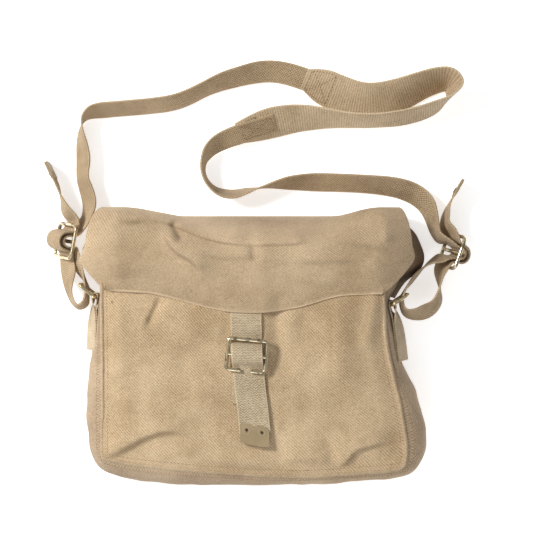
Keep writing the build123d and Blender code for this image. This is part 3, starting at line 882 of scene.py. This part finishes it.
class Strap:
    """Webbing through stations. at() gives places on it, and make() the piece."""

    def __init__(self, stations, dish=0.5, wander=0.35, seed=11):
        low, high = [], []
        for i, (here, across, width) in enumerate(stations):
            before = stations[max(i - 1, 0)][0]
            after = stations[min(i + 1, len(stations) - 1)][0]
            along = (after - before).normalized()
            across = (across - along * across.dot(along)).normalized()
            low.append(here - across * (width / 2))
            high.append(here + across * (width / 2))
        self.low = smooth_line(low)
        self.high = smooth_line(high)
        self.length = length_of((self.low + self.high) / 2)
        self.width = float(np.median(np.linalg.norm(self.high - self.low, axis=1)))
        self.dish = dish
        self.wander = wander
        self.seed = seed

    def at(self, u, v, lift=0.0):
        u, v = np.broadcast_arrays(np.asarray(u, float), np.asarray(v, float))
        low, high = matched([self.low, self.high], u)
        ahead, ahead_high = matched([self.low, self.high], np.clip(u + 0.002, 0, 1))
        behind, behind_high = matched([self.low, self.high], np.clip(u - 0.002, 0, 1))
        along = (ahead + ahead_high) - (behind + behind_high)
        out = np.cross(along, high - low)
        out /= np.linalg.norm(out, axis=1)[:, None] + 1e-12
        place = low + (high - low) * v[:, None]
        wave = ripple(spot(u * self.length, v * 0), 16, self.seed)
        bow = self.dish * (1 - (2 * v - 1) ** 2) + self.wander * wave * (2 * v - 1)
        return place + out * ((bow + lift) * MM)[:, None]

    def make(self, name, thickness=WEBBING, rows=6, pitch=1.6, rounding=0.35):
        columns = max(12, int(self.length / (pitch * MM)))
        piece = lay(name, columns, rows, self.at, (self.length, self.width))
        return thicken(piece, thickness, rounding)


print("webbing tools ready")

# %% [markdown]
# Shoulder strap. It is three lengths: a wide ribbed piece for the shoulder, and a narrow piece sewn to
# each of its ends, which goes down through a buckle, round the side ring and back up through the buckle,
# so that the strap can be made longer. Each buckle has two layers of webbing through it: an inner one
# over its middle bar, and an outer one over that. A row is a station's x, y, lean in x and y, height if it
# isn't on the floor, and width if it isn't the narrow webbing's.
# %% Strap routes

KNOTS = {
    # The middle of the buckle, the way along it, the way it faces, and how far its top leans inwards
    "left": (Vector((-161.5, 93.6, 13.3)), Vector((0.18, 0.984, 0)), Vector((-0.984, 0.18, 0)), 45),
    "right": (Vector((165.7, 84.8, 16.2)), Vector((0.333, 0.943, 0)), Vector((0.943, -0.333, 0)), -30),
}
INNER_LAYER = [(12, -10.5), (7, -5.5), (4.8, -1), (4.6, 4), (3, 7.4), (0, 8.4), (-3, 7.4)]
INNER_LAYER += [(-4.8, 4), (-5, -1), (-6, -5), (-10, -9.5)]
OUTER_LAYER = [(-20, -6.4), (-14, -4.4), (-10, -2.8), (-8, 0), (-8, 4), (-6.6, 9), (-3.5, 12)]
OUTER_LAYER += [(0, 12.8), (3.5, 12), (6.6, 9), (8, 4), (8, 0), (10, -2.8), (14, -4.4)]


def in_knot(side, u, n):
    """A station u along the buckle and n out of it."""
    middle, along, out, lean = KNOTS[side]
    bars = Vector((0, 0, 1)) * math.cos(math.radians(lean)) - out * math.sin(math.radians(lean))
    tilt = math.sin(math.radians(lean)) * max(n, -7)
    place = middle + along * u + out * (n * math.cos(math.radians(lean))) + Vector((0, 0, tilt))
    return place, bars, NARROW


def knot_pass(side, layer):
    return [in_knot(side, u, n) for u, n in layer]


STRAP_LEFT = route([
    (-176.4, 157.5, 0, 0), (-170.4, 144.6, 0, 0), (-168.2, 138.8, 0.06, 0),
    (-165.4, 129.5, 0.2, 0.03, 10.4), (-162.4, 120, 0.62, -0.1, 11.6),
])
STRAP_LEFT += knot_pass("left", [(18, -5.4)] + OUTER_LAYER[::-1])
STRAP_LEFT += route([
    (-157.6, 63, 0.62, -0.05, 17.5), (-157.2, 54, 0.42, 0.1, 21), (-154.9, 45, 0.25, 0.25, 24.5),
    (-150, 39, 0.1, 0.35, 27), (-144.6, 39, 0.0, 0.25, 29), (-141.3, 44.5, 0, 0.1, 30.4),
    (-140.7, 52.2, 0, 0, 31), (-142.0, 60, 0.05, 0, 28.4), (-148.6, 72, 0.45, 0, 21),
])
STRAP_LEFT += knot_pass("left", INNER_LAYER[::-1])
STRAP_LEFT += route([
    (-144.8, 111.5, 0.5, -0.1), (-141.4, 124.2, 0.72, 0), (-144.2, 136, 0.68, 0.2),
    (-148.4, 147.5, 0.57, 0.1), (-147.0, 162, 0.72, -0.03), (-148.2, 175.3, 0.62, 0.05),
    (-149.2, 188, 0.3, 0.02), (-147.6, 197.6, 0.0, 0.1), (-142, 203, -0.1, 0.4),
    (-133.5, 205, -0.05, 0.58), (-115.8, 206.4, -0.05, 0.56), (-90.3, 208.5, -0.03, 0.56),
    (-71.5, 211, -0.08, 0.58), (-58, 215.7, -0.2, 0.52), (-45, 222.4, -0.22, 0.45),
    (-30.6, 229.2, -0.25, 0.62), (-14, 234.3, -0.2, 0.76), (1, 238.2, -0.18, 0.88),
    (14, 239.3, -0.03, 0.94, 3.6), (27.5, 236.9, 0.25, 0.92, 4.0), (41, 232.6, 0.44, 0.86, 4.0),
    (54, 227.6, 0.41, 0.86, 4.4), (70.1, 220.1, 0.40, 0.86, 4.6),
])
STRAP_CENTRE = route([
    (41.4, 232.6, 0.45, 0.85, 5.9, 17), (53.7, 227.2, 0.41, 0.86, 6.3, 31),
    (69.9, 219.6, 0.40, 0.86, 6.5, WIDE), (88.7, 213.2, 0.15, 0.92, None, WIDE),
    (105.7, 213.4, -0.05, 0.92, None, WIDE), (122.7, 217.8, -0.25, 0.8, None, WIDE),
    (139.5, 225.2, -0.22, 0.62, None, WIDE), (154.3, 230.2, -0.08, 0.58, None, WIDE),
    (164.8, 230.8, 0.3, 0.42, None, WIDE), (169.3, 224.2, 0.4, 0.15, None, WIDE),
    (165.3, 215.4, 0.12, 0.08, None, WIDE), (154.5, 207.4, -0.1, 0.25, None, WIDE),
    (139.8, 201.4, -0.08, 0.3, None, WIDE), (122.7, 197.3, 0, 0.29, None, WIDE),
    (101.4, 195.2, 0, 0.24, None, WIDE), (80.1, 195.4, 0, 0.26, None, WIDE),
    (58.8, 197.6, 0, 0.42, None, WIDE), (37.5, 198.2, 0, 0.62, None, WIDE),
    (16.2, 194.9, -0.1, 0.75, None, WIDE), (-0.8, 189.8, -0.2, 0.78, 11.3, 28),
    (-15.3, 184.9, -0.25, 0.77, 11.2, 20),
])
STRAP_RIGHT = route([
    (16.6, 193.8, -0.1, 0.75, 12.8), (-0.4, 188.7, -0.2, 0.78, 12.2), (-14.9, 183.8, -0.25, 0.77, 12.1),
    (-25.5, 180.2, -0.35, 0.66, 9.8), (-34.4, 175.6, -0.4, 0.5, 9.0), (-40.8, 169.6, -0.4, 0.25, 9.6),
    (-44.7, 162, -0.2, 0), (-45.5, 153.5, -0.14, 0), (-42.5, 144.7, -0.12, -0.1),
    (-35.7, 137.4, -0.12, -0.2), (-27.2, 133.6, -0.1, -0.4), (-17, 133.4, 0.1, -0.42),
    (-6.8, 136.4, 0.1, -0.25), (5.2, 139.4, 0, 0), (18.8, 142.1, -0.05, 0.3), (31, 143.4, -0.03, 0.55),
    (46.1, 143.9, 0, 0.75), (71.6, 143.4, 0, 0.74), (101.4, 141.9, 0.04, 0.75), (121, 139.5, 0.12, 0.85),
    (135.5, 134.4, 0.4, 0.82), (145.7, 125.6, 0.6, 0.5), (149.8, 114.6, 0.45, 0.15),
    (151.8, 104, 0.35, 0.05, 12), (154.6, 95.5, 0.4, -0.05, 16.5),
])
STRAP_RIGHT += knot_pass("right", INNER_LAYER[1:])
STRAP_RIGHT += route([
    (145.5, 74, 0.05, 0.05, 20), (134, 64, -0.2, 0.2, 25), (125.6, 54, -0.1, 0.05, 28.5),
    (121.4, 45.7, 0, 0, 30), (122.4, 37.6, -0.05, 0.15, 29), (128.5, 32.5, -0.05, 0.45, 26.5),
    (139, 32.6, 0, 0.72, 23), (149.2, 36.2, -0.25, 0.6, 20), (155.4, 44.5, -0.45, 0.2, 17.5),
    (155.8, 56, -0.05, 0, 15.8), (154.8, 66, 0.34, -0.1, 15.8),
])
STRAP_RIGHT += knot_pass("right", OUTER_LAYER[1:])
STRAP_RIGHT += route([
    (159.6, 105.3, 0.42, -0.12, 14.6), (160.6, 114, 0.2, -0.05, 12), (163.5, 123.5, -0.05, 0),
    (169, 133.4, -0.1, 0), (174.4, 142.4, -0.1, 0),
])

strap_left = Strap(STRAP_LEFT, dish=0.3, seed=11)
strap_centre = Strap(STRAP_CENTRE, dish=-0.5, seed=12)
strap_right = Strap(STRAP_RIGHT, dish=0.3, seed=13)
for strap, part, finish, slot, rest in (
    (strap_left, "left", narrow_cloth, "narrow_webbing", "strap_buckle_left"),
    (strap_centre, "centre", wide_cloth, "wide_webbing", "back_cloth"),
    (strap_right, "right", narrow_cloth, "narrow_webbing", "strap_buckle_right"),
):
    piece = strap.make(f"strap_{part}_webbing")
    dress(piece, finish, "bag", [f"shoulder_strap_{part}"])
    print(piece.name, round(strap.length, 3), "m long,", round(strap.width * 1000, 1), "mm wide")

# %% [markdown]
# Closing strap. A herringbone webbing is sewn under the flap's hem. It goes under the buckle's top bar,
# over its middle bar and under its two prongs, and lies down the front. The buckle itself is held by a
# short loop of webbing, folded round the middle bar and sewn to the front panel.
# %% Closing strap and buckle loop

CLOSING = 25.4
CLOSING_TURN = math.radians(-6)
CLOSING_ACROSS = Vector((math.cos(CLOSING_TURN), math.sin(CLOSING_TURN), 0))
CLOSING_ROUTE = [
    (-8.2, 60, 51.7), (-7.9, 46, 52.0), (-7.8, 34, 52.5), (-7.6, 22, 53.0), (-7.4, 16, 52.7),
    (-7.2, 9.4, 52.8), (-7.1, 8.6, 56.2), (-7.0, 5, 59.7), (-6.9, -0.4, 61.7), (-6.6, -5.6, 59.9),
    (-6.3, -8.6, 55.9), (-5.8, -11.8, 54.5), (-5.0, -20, 54.6), (-4.0, -30, 54.6), (-3.0, -38, 54.6),
    (-2.2, -44, 54.4), (-1.2, -55, 54.4), (-0.2, -64, 54.4),
]
CHAPE_WIDTH = 24.6
CHAPE_ROUTE = [
    (-7.0, -40, 53.5), (-7.4, -22, 53.5), (-7.3, -8, 53.4), (-7.2, -3.6, 54.4),
    (-7.0, 1.0, 54.3), (-6.9, 2.9, 57.2), (-6.9, -0.4, 60.4),
    (-7.0, -3.5, 58.2), (-7.3, -5.2, 55.2), (-8.0, -14, 53.6),
]
closing = Strap(
    [(Vector(p), CLOSING_ACROSS, CLOSING) for p in CLOSING_ROUTE], dish=-0.2, wander=0.2, seed=14
)
closing_piece = closing.make("closing_webbing_strap", 1.3, 12, 1.0)
dress(closing_piece, closing_cloth, "flap_lid", ["closing_strap"])
chape = Strap(
    [(Vector(p), CLOSING_ACROSS, CHAPE_WIDTH) for p in CHAPE_ROUTE], dish=0.1, wander=0.1, seed=15
)
chape_piece = chape.make("closing_buckle_loop", 0.7, 8, 0.7, 0.2)
dress(chape_piece, chape_cloth, "bag", ["closing_buckle_chape"])
print("closing strap", round(closing.length, 3), "buckle loop", round(chape.length, 3))

# %% [markdown]
# Ring loops. Each side ring hangs in a loop of webbing: it goes up the bag's side, round the ring's inner
# bar and back down behind itself, and both layers are sewn to the side strip.
# %% Ring loops

RING_LOOPS = {
    "left": [
        (-136.8, 2, 0.5, 0, 32.4), (-136.4, 24, 0.5, 0, 32.4), (-135.6, 36, 0.3, 0, 32.0),
        (-135.6, 43.5, 0.0, 0, 31.4, 17), (-135.4, 48.6, 0.0, 0, 31.2, 16.5),
        (-132.6, 50.0, 0.0, 0, 31.2, 16.5), (-130.2, 47.6, 0.0, 0, 31.2, 16.5),
        (-132.2, 42, 0.0, 0, 31.2, 17), (-134.4, 35, 0.3, 0, 31.6), (-135.2, 24, 0.5, 0, 31.8),
        (-135.6, 3, 0.5, 0, 31.8),
    ],
    "right": [
        (123.3, -7, -0.5, 0, 28.9), (121.2, 15, -0.5, 0, 28.9), (118.0, 29, -0.35, 0, 29.6),
        (116.4, 36.6, 0.0, 0, 30.0, 17), (116.0, 42.0, 0.0, 0, 30.0, 16.5),
        (113.2, 43.8, 0.0, 0, 30.0, 16.5), (110.2, 41.8, 0.0, 0, 30.0, 16.5),
        (111.4, 36.4, 0.0, 0, 30.0, 17), (116.6, 28, -0.35, 0, 29.0), (119.9, 14, -0.5, 0, 28.2),
        (122.0, -6, -0.5, 0, 28.2),
    ],
}
for hand, rows in RING_LOOPS.items():
    loop = Strap(route(rows), dish=0.0, wander=0.15, seed=16)
    piece = loop.make(f"ring_loop_{hand}", 1.2, 5, 1.2)
    dress(piece, chape_cloth, "bag", [f"ring_chape_{hand}"])
    print(piece.name, round(loop.length, 3))

# %% [markdown]
# Ears of the flap. At each side of its rising part the flap has a spare fold of canvas that turns down beside
# the bag. Each is a short strip between a top line and a bottom line. The right one is the larger: its lower
# part reaches down beside the mouth to fill a gap that lies in deep shade, and its cloth is a darker copy of
# the flap's, with that shade painted in.
# %% Flap ears

EARS = {
    "right": [
        ((119.5, 110.5, 9), (122.5, 111.5, 2.5)),
        ((123.6, 104.5, 27), (131.5, 105.5, 8)),
        ((126.0, 92, 37), (138.5, 93, 16)),
        ((127.0, 82, 39.5), (142.5, 80, 22)),
        ((125.0, 73, 40.5), (139, 70, 24)),
        ((115, 64, 41), (128.5, 61, 14)),
        ((107.5, 56, 41), (121.5, 51.5, 12)),
        ((106.2, 49, 40), (117, 44, 12)),
    ],
    "left": [
        ((-129.5, 109.5, 7), (-129.5, 111.5, 2.5)),
        ((-135.3, 102.5, 23), (-135.3, 105.5, 6)),
        ((-142.6, 90, 31.5), (-139, 93, 14)),
        ((-145.2, 82, 33), (-142, 84, 20)),
    ],
}
for hand, pairs in EARS.items():
    stations = []
    for top, bottom in pairs:
        rise = Vector(top) - Vector(bottom)
        stations.append(((Vector(top) + Vector(bottom)) / 2, rise.normalized(), rise.length))
    ear = Strap(stations, dish=0.6, wander=0.8, seed=21)
    piece = ear.make(f"flap_ear_{hand}", 1.3, 10, 1.2)
    # The right ear gets the cloth with painted shade.
    finish = painted_shade_ear_cloth if hand == "right" else flap_cloth
    dress(piece, finish, "flap_rear", [f"flap_wing_{hand}"])
    print(piece.name, len(piece.data.polygons), "faces")

# %% [markdown]
# Brass tips. A strap's cut end is clamped in a folded brass shoe with a scalloped edge, punched with two
# dimples that grip the webbing. It is a small slab laid from a grid like the cloth, with two lobes on one
# end and two dents pressed in, and the two smaller ones on the shoulder strap are the same shape.
# %% Brass tips


TIP_LAP = 12.5  # how far a shoe reaches back over its webbing, mm


def tip(name, start, along, across, width, length, node, body):
    """A shoe from start along the strap, its scalloped edge first."""
    start, along, across = [np.array(v) for v in (start, along.normalized(), across.normalized())]
    out = np.cross(along, across)

    def place(u, v):
        lobes = np.abs(np.sin(2 * np.pi * v)) ** 0.6 - 1
        reach = u * length - (1 - u) ** 3 * lobes * 2.4 - 0.9 * u**3 * np.abs(2 * v - 1) ** 6
        side = (v - 0.5) * width
        dents = 0
        for centre in (-TIP_DENT_SIDE, TIP_DENT_SIDE):
            far = np.hypot(reach - TIP_DENT_ALONG, side - centre * width)
            dents = dents + 0.9 * np.exp(-((far / 1.9) ** 4)) - 0.35 * np.exp(-(((far - 2.3) / 0.7) ** 2))
        return (start + np.outer(reach, along) + np.outer(side, across) - np.outer(dents, out)) * MM

    piece = lay(name, 34, 52, place, (length * MM, 1.0))
    thicken(piece, 2.4, 0.5)
    return dress(piece, tip_paint, body, [node])


def end_frame(last, before):
    """The end of the webbing at station last, its direction and its width direction."""
    along = (last[0] - before[0]).normalized()
    across = (last[1] - along * last[1].dot(along)).normalized()
    return last[0] - along * TIP_LAP, along, across


tip_along = Vector((0.02, -1, 0))
tip_across = Vector((0.985, -0.17, 0))
tip_start = Vector((-0.8, -57.4, 54.8))
tip("closing_tip", tip_start, tip_along, tip_across, 24.2, 16.6, "closing_strap_tip", "flap_lid")
for hand, ends in (("left", STRAP_LEFT[:2]), ("right", STRAP_RIGHT[:-3:-1])):
    start, along, across = end_frame(*ends)
    tip(f"strap_end_{hand}", start, along, across, 20.4, 16.0, f"strap_tip_{hand}", "bag")
print("three brass tips made")

# %% [markdown]
# Stitching. One stitch is a stretched bead of thread, a few faces only, modelled once and copied along
# every seam: beside the front fold, along the flap's hem, across the strap under the hem, and in the boxes
# that hold the strap's three lengths together.
# %% Stitches

deselect()
bpy.ops.mesh.primitive_uv_sphere_add(segments=6, ring_count=4, radius=1)
bead = bpy.context.object
# The sphere comes with its points in an order that changes from run to run, so they are sorted by place
loose_points = np.array([v.co for v in bead.data.vertices])
order = np.lexsort(np.round(loose_points, 4).T)
rank = np.argsort(order)
BEAD_POINTS = np.round(loose_points[order], 6)
BEAD_FACES = []
for polygon in bead.data.polygons:
    corners = [int(rank[i]) for i in polygon.vertices]
    first = corners.index(min(corners))
    BEAD_FACES.append(tuple(corners[first:] + corners[:first]))
BEAD_FACES.sort()
bpy.data.objects.remove(bead)


def stitch_row(name, rows, body, finish=thread, pitch=3.0, long=2.2, thick=0.5):
    """Stitches along rows, each a line of points in metres and the ways that its cloth faces."""
    points, faces = [], []
    for row, normals in rows:
        count = max(2, int(length_of(row) / (pitch * MM)))
        share = (np.arange(count) + 0.5) / count
        middle = pick(row, share)
        ahead = pick(row, np.clip(share + 0.5 / count, 0, 1)) - pick(row, np.clip(share - 0.5 / count, 0, 1))
        ahead /= np.linalg.norm(ahead, axis=1)[:, None]
        known = np.linspace(0, 1, len(normals))
        up = np.stack([np.interp(share, known, part) for part in normals.T], axis=-1)
        sideways = np.cross(ahead, up)
        sideways /= np.linalg.norm(sideways, axis=1)[:, None]
        for i in range(count):
            shape = BEAD_POINTS * (long / 2, thick / 2, thick / 2) * MM
            placed = middle[i] + shape @ np.stack([ahead[i], sideways[i], np.cross(ahead[i], sideways[i])])
            faces += [tuple(len(points) * len(BEAD_POINTS) + k for k in face) for face in BEAD_FACES]
            points.append(placed)
    mesh = bpy.data.meshes.new(name)
    mesh.from_pydata(np.concatenate(points).tolist(), [], faces)
    piece = bpy.data.objects.new(name, mesh)
    bpy.context.scene.collection.objects.link(piece)
    piece.data.materials.append(finish.material)
    if body:
        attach(piece, body)
    return piece


def on_sheet(place, u, v, lift):
    """A line on a laid sheet at (u, v), lifted off it, and the way the sheet faces."""
    u, v = np.broadcast_arrays(np.asarray(u, float), np.asarray(v, float))
    step = 0.004
    along = place(np.clip(u + step, 0, 1), v) - place(np.clip(u - step, 0, 1), v)
    across = place(u, np.clip(v + step, 0, 1)) - place(u, np.clip(v - step, 0, 1))
    normal = np.cross(along, across)
    normal /= np.linalg.norm(normal, axis=1)[:, None]
    normal *= np.sign(normal[:, 2:3] + 1e-9)
    return place(u, v) + normal * lift * MM, normal


way = np.linspace(0, 1, 160)
front_rows = [
    on_sheet(front_place, 0.017, 1 - way * 0.975, 0.6),
    on_sheet(front_place, 0.017 + way * 0.966, 0.025, 0.6),
    on_sheet(front_place, 0.983, 0.025 + way * 0.975, 0.6),
]
front_stitches = stitch_row("front_stitches", front_rows, "bag", dark_thread, thick=0.35)
side_rows = [on_sheet(side_place, np.linspace(0.02, 0.98, 400), 0.955, 0.5)]
side_stitches = stitch_row(
    "side_stitches", side_rows, "bag", dark_thread, pitch=3.6, long=2.9, thick=0.4
)
down_side = CREASE_SHARE + 0.03 + way * (0.927 - CREASE_SHARE)
hem_rows = [
    on_sheet(flap_place, 0.018 + way * 0.964, 0.953, 0.65),
    on_sheet(flap_place, 0.018, down_side, 0.65),
    on_sheet(flap_place, 0.982, down_side, 0.65),
]
hem_stitches = stitch_row("hem_stitches", hem_rows, None)
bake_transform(hem_stitches)


def strap_box(strap, u0, u1, inset, lift):
    """The lines of a sewn box on a strap, and the way each faces."""
    v0, v1 = inset / (strap.width / MM), 1 - inset / (strap.width / MM)
    corners = [((u0, u1), (v0, v0)), ((u0, u1), (v1, v1)), ((u0, u0), (v0, v1)), ((u1, u1), (v0, v1))]
    corners += [((u0, u1), (v0, v1)), ((u0, u1), (v1, v0))]
    rows = []
    for us, vs in corners:
        u, v = np.linspace(*us, 12), np.linspace(*vs, 12)
        normal = strap.at(u, v, 1.0) - strap.at(u, v, 0.0)
        normal /= np.linalg.norm(normal, axis=1)[:, None]
        rows.append((strap.at(u, v, lift), normal))
    return rows


box_rows = strap_box(strap_centre, 0.012, 0.075, 3.0, 0.8) + strap_box(strap_right, 0.004, 0.05, 3.0, -0.8)
box_rows += strap_box(strap_centre, 0.945, 0.992, 4.0, -0.8)
stitch_row("strap_box_stitches", box_rows, "bag", dark_thread, pitch=2.6, long=2.0)

# %% [markdown]
# A pattern cutter would ask how large each piece of canvas was before it was sewn. The bag is sewn from four
# pieces of canvas: the front, the side strip, the back and the flap. These are estimates for the four, with
# the folds and stitches that go with each; the side strip's length is that of the front seam.
# %% Canvas pieces

print("four canvas pieces made: front, side strip, back and flap")

# %% [markdown]
# Metal that is right as it is. The rings and buckles are bent wire of the right shape in the CAD model, so
# they stay and only get their brass.
# %% Brass on the wire parts

for node, finish in (
    ("closing_buckle", buckle_brass),
    ("strap_buckle_left", buckle_brass),
    ("strap_buckle_right", buckle_brass),
    ("ring_left", ring_brass),
    ("ring_right", ring_brass),
):
    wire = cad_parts[node]
    wire.data.materials.clear()
    wire.data.materials.append(finish.material)
print("wire parts finished")
